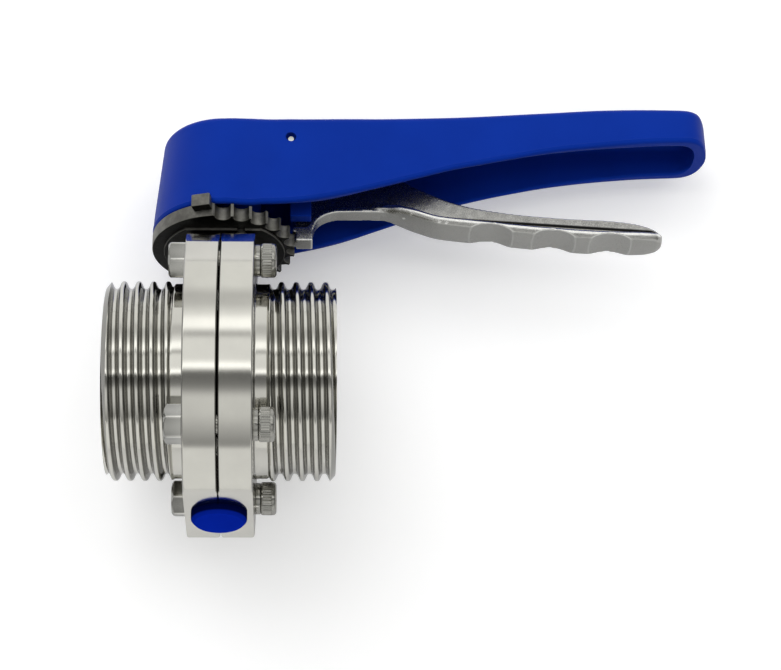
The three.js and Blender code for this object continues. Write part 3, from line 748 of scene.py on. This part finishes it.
def flange_fasteners():
    """Four screws through both flanges, with their washers on the right and nuts on the left."""
    places = [(-1, 1, 27), (-1, -1, 4), (1, 1, 10), (1, -1, 17)]  # side of Y, side of Z, nut's turn
    along_x = Matrix.Rotation(math.pi / 2, 4, "Y")
    seat = FLANGE_T + 0.05
    for i, (sy, sz, nut_turn) in enumerate(places, 1):
        spot = Matrix.Translation((0, sy * BOLT_OFFSET * MM, sz * BOLT_OFFSET * MM))
        twist = Matrix.Rotation(math.radians(13 * i), 4, "Z")
        pieces = [
            (shift(socket_head(f"cap_screw_{i}_shape", 3, 25.7, 4.9, 4.6, 5), z=seat + 1.55), "cap_screw"),
            (washer(f"washer_{i}_shape", 3.3, 4.65, seat, seat + 1.5), "washer"),
        ]
        for obj, kind in pieces:
            obj.matrix_world = spot @ along_x @ twist
            finish_piece(obj, "body", SCREW_STEEL, "fastener_steel", f"{kind}_{i}")
        nut = shift(hex_nut(f"hex_nut_{i}_shape", 10, 5.1, 2.75), z=seat)
        corner = Matrix.Rotation(math.radians(-90 - nut_turn), 4, "Z")
        nut.matrix_world = spot @ Matrix.Rotation(-math.pi / 2, 4, "Y") @ corner
        finish_piece(nut, "body", NUT_STEEL, "fastener_steel", f"hex_nut_{i}", angle=25)


flange_fasteners()


# -------------------- index plate

PLATE_R = 21.45
VALLEY_CENTRE_R = 20.85
VALLEY_R = 2.31
SADDLE_R = 17.95
SADDLE_HALF = 14.1
LUG_TURN = 105.6


def plate_outline():
    """Narrow crests between round valleys from -90 to 90 degrees, and a plain rim round the rest."""
    points = []
    for tooth in range(13):
        turn = math.radians(15 * tooth - 90)
        for k in range(17):
            angle = turn - math.pi * (0.5 + k / 16)
            points.append((VALLEY_CENTRE_R * math.cos(turn) + VALLEY_R * math.cos(angle),
                           VALLEY_CENTRE_R * math.sin(turn) + VALLEY_R * math.sin(angle)))
    for k in range(111):
        angle = math.radians(97.5 + 1.5 * k)
        points.append((PLATE_R * math.cos(angle), PLATE_R * math.sin(angle)))
    return points


def rounded_box(name, x0, x1, y0, y1, z0, z1, radius):
    """A box with rounded edges, from a bevelled cage."""
    obj = block(x0, x1, y0, y1, z0, z1)
    obj.name = name
    bm = bmesh.new()
    bm.from_mesh(obj.data)
    bmesh.ops.bevel(bm, geom=bm.edges[:], offset=radius * MM, segments=4, profile=0.5, affect="EDGES")
    bm.to_mesh(obj.data)
    bm.free()
    return obj


def index_plate():
    """The toothed plate on its saddle, with two stop lugs and two countersunk screw holes."""
    plate = prism("index_plate_shape", plate_outline(), 43.1, 47.6, 0.35, 4)
    boss = spin("boss", rounded([
        (42.32, 0, 0), (42.32, SADDLE_R, 0.3), (43.4, SADDLE_R, 0), (43.4, 0, 0),
    ]), "z", 128)
    cut(boss, [block(-20, 20, -20, -SADDLE_HALF, 41, 45), block(-20, 20, SADDLE_HALF, 20, 41, 45)])
    extras = [boss]
    for side in (-1, 1):
        foot = rounded_box("lug", 17, 24.25, -2.78, 2.78, 45.25, 47.5, 0.4)
        horn = rounded_box("horn", 21.95, 24.25, -2.78, 2.78, 45.25, 49.38, 0.4)
        extras += [turn_z(foot, side * LUG_TURN), turn_z(horn, side * LUG_TURN)]
    join(plate, extras)
    sinks = [rod("z", 41, 50, 5.5, 64)]
    sink = [(41, 0), (41, 2.2), (44.6, 2.2), (47.7, 4.7), (47.7, 0)]
    for x, y in ((-5.2, 12.2), (5.2, -12.2)):
        sinks.append(shift(spin("sink", sink, "z", 48), x, y))
    cut(plate, sinks)
    finish_piece(plate, "body", PLATE_STEEL, "cast_steel", "index_plate", angle=40)


index_plate()


# -------------------- handle

HEAD_R = 21.45
HANDLE_START_X = -21.43
HANDLE_STOP_X = 146.35
END_WALL = 3.6
CEILING = 2.4
# The handle's plan, side view, wall and draft, each as (x, value)
HALF_WIDTH = [
    (4, 21.12), (10, 19.1), (15, 17.6), (20, 16.8), (25, 16.3), (31, 15.9), (35, 15.6), (40, 15.1),
    (45, 14.5), (57, 13.4), (68, 12.5), (78, 11.95), (85, 11.75), (100, 11.65), (115, 11.5),
    (130, 11.6), (147, 11.4),
]
TOP_Z = [
    (0, 79.1), (5, 79.4), (10, 80.2), (15, 80.9), (20, 81.4), (31, 81.9),
    (45, 82.7), (68, 84.4), (85, 85.8), (100, 86.85), (115, 87.9), (125, 88.1), (147, 88),
]
BOTTOM_Z = [
    (5, 47.9), (8, 48.35), (10, 49.05), (12, 49.65), (15, 50.15), (20, 51), (27, 52.3),
    (35, 54.3), (45, 57.5), (60, 62.5), (68, 65.1), (78, 67.6), (85, 69.2), (100, 72.2),
    (115, 74.1), (130, 75.4), (147, 76),
]
WALL = [
    (20, 2.2), (30, 2.8), (45, 2.2), (70, 2), (85, 2), (100, 2.5), (115, 2.8),
    (125, 3.3), (147, 3.5),
]
DRAFT = [(0, 0.085), (5, 0.08), (20, 0.06), (45, 0.05), (70, 0.045), (147, 0.045)]


def plan_half_width(x, depth):
    """Half the handle's width in plan. Depth is 0 outside the wall and 1 inside it."""
    wall = curve_value(WALL, x) * depth
    head_r = HEAD_R - wall
    head = math.sqrt(head_r * head_r - x * x) if abs(x) < head_r else 0.0
    arm = curve_value(HALF_WIDTH, x) - 0.05 - wall if x > 4 else 0.0
    near_end = HANDLE_STOP_X + 0.05 - END_WALL * depth - x
    corner = 10 - 3 * depth
    if near_end < corner:
        arm *= math.sqrt(max(0.0004, 1 - ((corner - near_end) / corner) ** 3.2))
    return max(head, arm)


def arc_points(count, start, end):
    return [math.radians(start + (end - start) * k / count) for k in range(count + 1)]


def handle_ring(x, depth):
    """The handle's section at x: rounded lip with a fine ridge, drafted side and rounded top edge.
    Behind the stem's axis the section at x = 0 is swept round it."""
    at = max(x, 0.0)
    half = max(0.25, plan_half_width(at, depth))
    lip = curve_value(BOTTOM_Z, at)
    edge = min(2.4, half * 0.5)
    near_end = HANDLE_STOP_X + 0.05 - END_WALL * depth - x
    sink = 3 - math.sqrt(max(0.0, 9 - (3 - near_end) ** 2)) if near_end < 3 else 0.0
    z1 = curve_value(TOP_Z, at) - 0.05 - CEILING * depth - sink
    lean = min(curve_value(DRAFT, at) * (z1 - lip), half * 0.3)
    points = []
    if depth:
        flare = min(0.9, half * 0.2)
        points += [(half + flare, 40.0), (half + flare, lip)]
        for a in arc_points(4, 20, 90):
            points.append((half + flare * (1 - math.sin(a)), lip + flare * (1 - math.cos(a))))
        points += [(half, lip + 1.4), (half, lip + 1.8)]
    else:
        low = min(1.15, half * 0.3)
        for a in arc_points(5, 0, 80):
            points.append((half - 0.12 - low + low * math.sin(a), lip + low - low * math.cos(a)))
        points += [(half, lip + 1.25), (half - 0.12, lip + 1.55)]
    start = points[-1][1]
    for k in range(1, 7):
        points.append((half - lean * k / 6, start + (z1 - edge - start) * k / 6))
    side = points[-1][0]
    for a in arc_points(7, 0, 90)[1:]:
        points.append((side - edge * (1 - math.cos(a)), z1 - edge + edge * math.sin(a)))
    across = plan_half_width(x, depth) / half if x < 0 else 1.0
    points = [(x * y / half if x < 0 else x, y * across, z) for y, z in points]
    last_x, last_y, _ = points[-1]
    points += [(last_x, last_y * 0.66, z1), (last_x, last_y * 0.33, z1)]
    return points + [(last_x, 0, z1)] + [(px, -y, z) for px, y, z in reversed(points)]


def handle_stations(start, stop):
    """Stations along X, closest where the plan outline curves most."""
    stations = []
    for k in range(40):
        stations.append(start - start * (1 - math.cos(math.pi / 2 * k / 40)))
    for k in range(96):
        stations.append((stop - 12) * k / 96)
    for k in range(29):
        stations.append(stop - 12 + 12 * math.sin(math.pi / 2 * k / 28))
    return stations


def handle_solid(name, depth=0.0):
    stations = handle_stations(HANDLE_START_X + WALL[0][1] * depth, HANDLE_STOP_X - END_WALL * depth)
    return loft(name, [handle_ring(x, depth) for x in stations])


def rib(x0, x1, y0, y1, z0, z1):
    return rounded_box("rib", x0, x1, y0, y1, z0, z1, 0.35)


def mirrored_ribs(x0, x1, near, far, z0, z1):
    return [rib(x0, x1, near, far, z0, z1), rib(x0, x1, -far, -near, z0, z1)]


def handle_shell():
    """Hollow moulded handle: hub boss, stiffening ribs, guide cheeks for the trigger and a pin hole."""
    shell = cut(handle_solid("handle_shell_shape"), [handle_solid("hollow", 1.0)])
    inner = [turn_z(rib(9, 20, -1.2, 1.2, 56, 77.4), angle) for angle in (90, 142, 180, 218, 270)]
    inner += mirrored_ribs(19.45, 20.6, 11, 16, 54, 80)
    inner += mirrored_ribs(19.5, 25.8, 3.2, 6.8, 51.5, 81) + mirrored_ribs(16.4, 25.8, 3.2, 6.8, 67, 81)
    boss = spin("boss", rounded([(77.5, 0, 0), (77.5, 10.6, 0), (50.5, 10.6, 0.6), (50.5, 0, 0)]), "z", 96)
    inner = combine(join(boss, inner), [handle_solid("middle", 0.5)], "INTERSECT")
    join(shell, [inner])
    corner = 14.6 / math.sqrt(3)
    hexagon_points = [(corner * math.cos(TAU * k / 6), corner * math.sin(TAU * k / 6)) for k in range(6)]
    well = rounded([(71.6, 0, 0), (71.6, 8, 0), (78.3, 8, 0), (79.3, 8.5, 0), (84, 8.5, 0), (84, 0, 0)])
    cut(shell, [
        prism("socket", hexagon_points, 49, 69.3),
        rod("z", 69, 75, 3.4, 32),
        spin("well", well, "z", 96),
        shift(rod("y", -13.6, 13.6, 1.25, 48), PIVOT[0], 0, PIVOT[1]),
        shift(rod("y", -20, -13.5, 1.6, 48), PIVOT[0], 0, PIVOT[1]),
        shift(rod("y", 13.5, 20, 1.6, 48), PIVOT[0], 0, PIVOT[1]),
        block(PIVOT[0] - 4.2, PIVOT[0] + 6, -3.2, 3.2, 68, 77.8),
    ])
    finish_piece(shell, "handle", HANDLE_BLUE, "handle_blue", "handle_shell", angle=38)


def top_plug():
    """The cover over the handle's screw."""
    plug = spin("top_plug_shape", rounded([
        (77.2, 0, 0), (77.2, 7.65, 0.2), (78.95, 7.65, 0.4), (79.3, 6.4, 2), (79.4, 0, 0),
    ]), "z", 96)
    finish_piece(plug, "handle", HANDLE_BLUE, "handle_blue", "top_plug")


def pivot_pin():
    """The pin across the handle, with rounded ends."""
    length = 14.2
    pin = spin("pivot_pin_shape", rounded([
        (-length, 0, 0), (-length, 1.1, 0.35), (length, 1.1, 0.35), (length, 0, 0),
    ]), "y", 64)
    finish_piece(shift(pin, PIVOT[0], 0, PIVOT[1]), "handle", PIN_STEEL, "fastener_steel", "pivot_pin")


def return_spring():
    """A coil with closed ends, swept along its own helix."""
    radius, wire, low, high, turns = 3.2, 0.4, 71.95, 79.7, 5.5
    steps, sides = 150, 12
    verts = []
    for i in range(steps + 1):
        t = i / steps
        eased = min(1.0, max(0.0, (t - 0.12) / 0.76))
        angle = TAU * turns * t
        z = low + wire + (high - low - 2 * wire) * eased
        out = Vector((math.cos(angle), math.sin(angle), 0))
        for k in range(sides):
            a = TAU * k / sides
            p = out * (radius + wire * math.cos(a)) + Vector((43, 0, z + wire * math.sin(a)))
            verts.append(tuple(p))
    faces = band_faces(steps + 1, sides)
    faces.append(tuple(range(sides)))
    faces.append(tuple(reversed(range(steps * sides, (steps + 1) * sides))))
    spring = new_object("return_spring_shape", verts, faces)
    finish_piece(spring, "handle", SCREW_STEEL, "fastener_steel", "return_spring")


handle_shell()
top_plug()
pivot_pin()
return_spring()


# -------------------- trigger

# The lever in side view as (x, z): its web, and the band round its nose and arm
WEB_OUTLINE = [
    (21.6, 46), (25.8, 46), (26.2, 49), (27.2, 51.8), (29, 53.7), (32.3, 55.1), (36, 55.4),
    (44, 55.5), (48.5, 55.4), (56, 53.2), (62, 51.8), (72, 50), (82, 48.4), (94, 47.2),
    (106, 46.3), (118, 46), (126, 46.1), (130, 46.8), (130.4, 48.6), (129.2, 49.9), (126.8, 51.2),
    (122, 52.5), (114, 53.4), (102, 54), (87, 55.4), (75, 57.4), (67.8, 59.6), (60, 63.2), (52, 67.4),
    (45, 70.6), (37, 73.1), (29, 75), (23.5, 76.2), (21.4, 76.7), (19.7, 77), (17.9, 76.5),
    (16.8, 75.2), (16.6, 73.5), (17.3, 71.8), (18.6, 69), (19.2, 64), (20.2, 58),
]
FLANGE_OUTLINE = [
    (20.4, 45.4), (26.2, 45.4), (26.2, 49), (27.2, 51.8), (29, 53.7), (32.3, 55.1), (36, 55.4),
    (44, 55.5), (48.5, 55.2), (52, 54.3), (52, 56.2), (48.5, 56.9), (44, 57.1), (36, 57),
    (31.6, 56.6), (28, 55), (25.8, 52.5), (24.9, 50.3), (20.4, 50.2),
]
# The finger pad's underside and half width, as (x, value)
PAD_CENTRE = [
    (44, 55.4), (48, 55.1), (52, 54.1), (57, 52.3), (64, 50), (74, 48.7), (86, 47.3), (98, 46.1),
    (108, 45.3), (118, 44.9), (125, 44.9), (129.5, 45.2), (131, 45.8),
]
PAD_WIDTH = [
    (44, 2.8), (48, 3.4), (52, 4.9), (57, 5.75), (64, 5.8), (95, 5.8), (122, 5.8), (126, 5.5),
    (129, 4.6), (130.4, 3.4), (130.95, 2.4),
]


def spline(points):
    """An open Catmull-Rom curve through points, straight across very short spans."""
    out, per_span = [], 6
    last = len(points) - 1
    for i in range(last):
        p0, p1, p2, p3 = (Vector(points[min(max(i + k - 1, 0), last)]) for k in range(4))
        if (p2 - p1).length < 1.2:
            out.append(tuple(p1))
            continue
        for k in range(per_span):
            t = k / per_span
            q = 0.5 * (
                2 * p1 + (p2 - p0) * t + (2 * p0 - 5 * p1 + 4 * p2 - p3) * t * t
                + (3 * p1 - 3 * p2 + p3 - p0) * t ** 3
            )
            out.append(tuple(q))
    return out + [tuple(points[last])]


def pad_ring(x):
    """The finger pad's section: a thick rounded rim and a nearly flat underside."""
    z = curve_value(PAD_CENTRE, x)
    half = curve_value(PAD_WIDTH, x)
    rim = min(1.4, half * 0.5)
    points = []
    for a in arc_points(12, 0, 180):
        points.append((half - rim + rim * math.sin(a), z + 0.25 + rim + rim * math.cos(a)))
    for k in range(1, 7):
        t = 1 - k / 6.5
        points.append(((half - rim) * t, z + 0.25 * t * t))
    return [(x, y, zz) for y, zz in points] + [(x, -y, zz) for y, zz in reversed(points)]


def side_prism(name, outline, half):
    """An outline in the XZ plane given a thickness of twice half along Y."""
    slab = prism(name, [(x, -z) for x, z in outline], -half, half)
    return moved(slab, Matrix.Rotation(-math.pi / 2, 4, "X"))


def trigger_lever():
    """Cast lever: thin web with an eye, a nose that drops between the teeth, and a finger pad."""
    web = side_prism("web", WEB_OUTLINE[:2] + spline(WEB_OUTLINE[2:]), 1.9)
    band = FLANGE_OUTLINE[:2] + spline(FLANGE_OUTLINE[2:17]) + FLANGE_OUTLINE[17:]
    flange = side_prism("flange", band, 2.75)
    start, stop = PAD_CENTRE[0][0], PAD_CENTRE[-1][0]
    stations = [start + (stop - start) * k / 120 for k in range(121)]
    lever = loft("trigger_lever_shape", [pad_ring(x) for x in stations])
    join(lever, [web, flange])
    tooth = prism("tooth", [(21.5, -1.6), (21.5, 1.6), (19.3, 0.8), (19.3, -0.8)], 45.4, 48.8)
    scallops = []
    for x in (78.5, 97.5, 115):
        scallops.append(shift(rod("y", -9, 9, 12, 96), x, 0, curve_value(PAD_CENTRE, x) - 10.1))
    cut(lever, [block(18, 21.3, -4, 4, 44, 48.6)] + scallops)
    join(lever, [tooth])
    # Remeshed and relaxed, so that every edge is soft, as on a casting
    remesh = lever.modifiers.new("remesh", "REMESH")
    remesh.mode = "VOXEL"
    remesh.voxel_size = 0.3 * MM
    relax = lever.modifiers.new("relax", "SMOOTH")
    relax.factor = 0.5
    relax.iterations = 4
    apply_modifiers(lever)
    cut(lever, [shift(rod("y", -5, 5, 1.2, 48), PIVOT[0], 0, PIVOT[1])])
    finish_piece(lever, "trigger", LEVER_STEEL, "cast_steel", "trigger_lever", angle=60)


trigger_lever()


# -------------------- carried CAD pieces

CARRIED = {
    "lower_bush": POLYMER, "upper_bush": POLYMER, "stem_seal": RUBBER, "plate_screw_1": SCREW_STEEL,
    "plate_screw_2": SCREW_STEEL, "hub_insert": STEM_STEEL, "handle_washer": SCREW_STEEL,
    "handle_screw": SCREW_STEEL,
}
for node, mat in CARRIED.items():
    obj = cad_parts[node]
    obj.data.materials.clear()
    obj.data.materials.append(mat)


# -------------------- camera, table and light

def aim(azimuth, elevation, roll):
    """Right, up and back directions of a camera at that angle."""
    a, e, r = (math.radians(v) for v in (azimuth, elevation, roll))
    back = Vector((math.sin(a) * math.cos(e), -math.cos(a) * math.cos(e), math.sin(e)))
    right = Vector((math.cos(a), math.sin(a), 0))
    up = back.cross(right)
    return math.cos(r) * right + math.sin(r) * up, math.cos(r) * up - math.sin(r) * right, back


def make_camera():
    """The camera fitted to the photograph."""
    azimuth, elevation, roll = -2.36, -27.16, -0.83
    distance, aside, above = 0.71328, 0.04892, 0.01343
    right, up, back = aim(azimuth, elevation, roll)
    camera = bpy.data.objects.new("camera", bpy.data.cameras.new("camera"))
    bpy.context.scene.collection.objects.link(camera)
    camera.data.sensor_width = 36
    camera.data.lens = 113.38
    camera.location = back * distance + right * aside + up * above
    camera.rotation_mode = "QUATERNION"
    camera.rotation_quaternion = Matrix((right, up, back)).transposed().to_quaternion()
    camera.data.clip_start, camera.data.clip_end = 0.05, 20
    bpy.context.scene.camera = camera


def table():
    """The pale table the valve lies on, touching the flange and the handle's head, seen from its top only.
    A little glow, seen by the camera alone, stands for the photograph's overexposure."""
    tilt, size, glow = math.radians(19.7), 2.5, 0.3
    normal = Vector((0, -math.cos(tilt), -math.sin(tilt)))
    across = Vector((1, 0, 0))
    along = normal.cross(across)
    centre = -normal * (FLANGE_R + 0.25) * MM
    signs = ((-1, -1), (1, -1), (1, 1), (-1, 1))
    corners = [centre + across * (sx * size) + along * (sy * size) for sx, sy in signs]
    mesh = bpy.data.meshes.new("table_top")
    mesh.from_pydata([tuple(c) for c in corners], [], [(0, 1, 2, 3)])
    top = bpy.data.objects.new("table_top", mesh)
    bpy.context.scene.collection.objects.link(top)
    if mesh.polygons[0].normal.dot(normal) < 0:
        mesh.flip_normals()
    mat, nodes, links, shader = material("table_white")
    set_inputs(shader, {"Base Color": (0.82, 0.82, 0.83, 1), "Roughness": 0.7, "Emission Color": (1, 1, 1, 1)})
    seen = nodes.new("ShaderNodeLightPath").outputs["Is Camera Ray"]
    links.new(math_node(nodes, links, "MULTIPLY", seen, glow), shader.inputs["Emission Strength"])
    clear = nodes.new("ShaderNodeBsdfTransparent")
    mix = nodes.new("ShaderNodeMixShader")
    links.new(nodes.new("ShaderNodeNewGeometry").outputs["Backfacing"], mix.inputs["Fac"])
    links.new(shader.outputs[0], mix.inputs[1])
    links.new(clear.outputs[0], mix.inputs[2])
    links.new(mix.outputs[0], nodes["Material Output"].inputs["Surface"])
    mesh.materials.append(mat)


# Brightness of the studio round the pipe's axis, by angle above the horizontal in front:
# white panels and dark gaps, which the steel shows as bands.
STUDIO = [
    (-180, 0.9), (-125, 0.9), (-76, 0.93), (-73.8, 0.4), (-71, 0.34), (-65, 0.46), (-58, 0.6),
    (-50, 0.76), (-38, 0.8), (-35, 0.67), (-31.5, 0.36), (-28, 0.24), (-21, 0.15), (-18.6, 0.2),
    (-16.4, 1.5), (-14.5, 2.1), (-12.2, 1.3), (-10, 1.03), (5, 1.05), (8, 0.52), (10.4, 0.74),
    (13.5, 1.6), (19, 1.6), (24, 1.1), (32, 0.74), (40, 0.68), (48, 0.95), (62, 0.95), (180, 0.9),
]


def studio():
    """The studio in reflections and light, dimmer to the sides; the camera itself sees plain white."""
    world = bpy.data.worlds.new("studio")
    bpy.context.scene.world = world
    world.use_nodes = True
    nodes, links = world.node_tree.nodes, world.node_tree.links
    towards = axes_of(nodes, links, nodes.new("ShaderNodeTexCoord").outputs["Generated"])
    front = math_node(nodes, links, "MULTIPLY", towards["Y"], -1.0)
    angle = math_node(nodes, links, "ARCTAN2", towards["Z"], front)
    factor = math_node(nodes, links, "ADD", math_node(nodes, links, "DIVIDE", angle, TAU), 0.5)
    stops = [((a + 180) / 360, (v * 0.5, v * 0.5, v * 0.49)) for a, v in STUDIO]
    bands = ramp(nodes, links, factor, stops)
    sideways = math_node(nodes, links, "ABSOLUTE", towards["X"])
    dim = nodes.new("ShaderNodeMapRange")
    set_inputs(dim, {"From Min": 0.5, "From Max": 0.85, "To Min": 2.0, "To Max": 0.8})
    links.new(sideways, dim.inputs["Value"])
    background = nodes["Background"]
    links.new(dim.outputs["Result"], background.inputs["Strength"])
    links.new(bands, background.inputs["Color"])
    plain = nodes.new("ShaderNodeBackground")
    set_inputs(plain, {"Color": (1, 1, 1, 1), "Strength": 1.0})
    mix = nodes.new("ShaderNodeMixShader")
    links.new(nodes.new("ShaderNodeLightPath").outputs["Is Camera Ray"], mix.inputs["Fac"])
    links.new(background.outputs[0], mix.inputs[1])
    links.new(plain.outputs[0], mix.inputs[2])
    links.new(mix.outputs[0], nodes["World Output"].inputs["Surface"])


def soft_box(name, place, power):
    """A square lamp aimed at the valve, left out of reflections."""
    light = bpy.data.lights.new(name, "AREA")
    light.shape = "RECTANGLE"
    light.size, light.size_y = 1.2, 1.2
    light.energy = power
    lamp = bpy.data.objects.new(name, light)
    bpy.context.scene.collection.objects.link(lamp)
    lamp.location = place
    lamp.rotation_mode = "QUATERNION"
    lamp.rotation_quaternion = (-Vector(place)).to_track_quat("-Z", "Y")
    lamp.visible_glossy = False


make_camera()
table()
studio()
soft_box("key_light", (-0.5, -1.3, 0.45), 9)
soft_box("fill_light", (0.9, -1.3, 0.1), 3)
bpy.context.scene.view_settings.view_transform = "Standard"
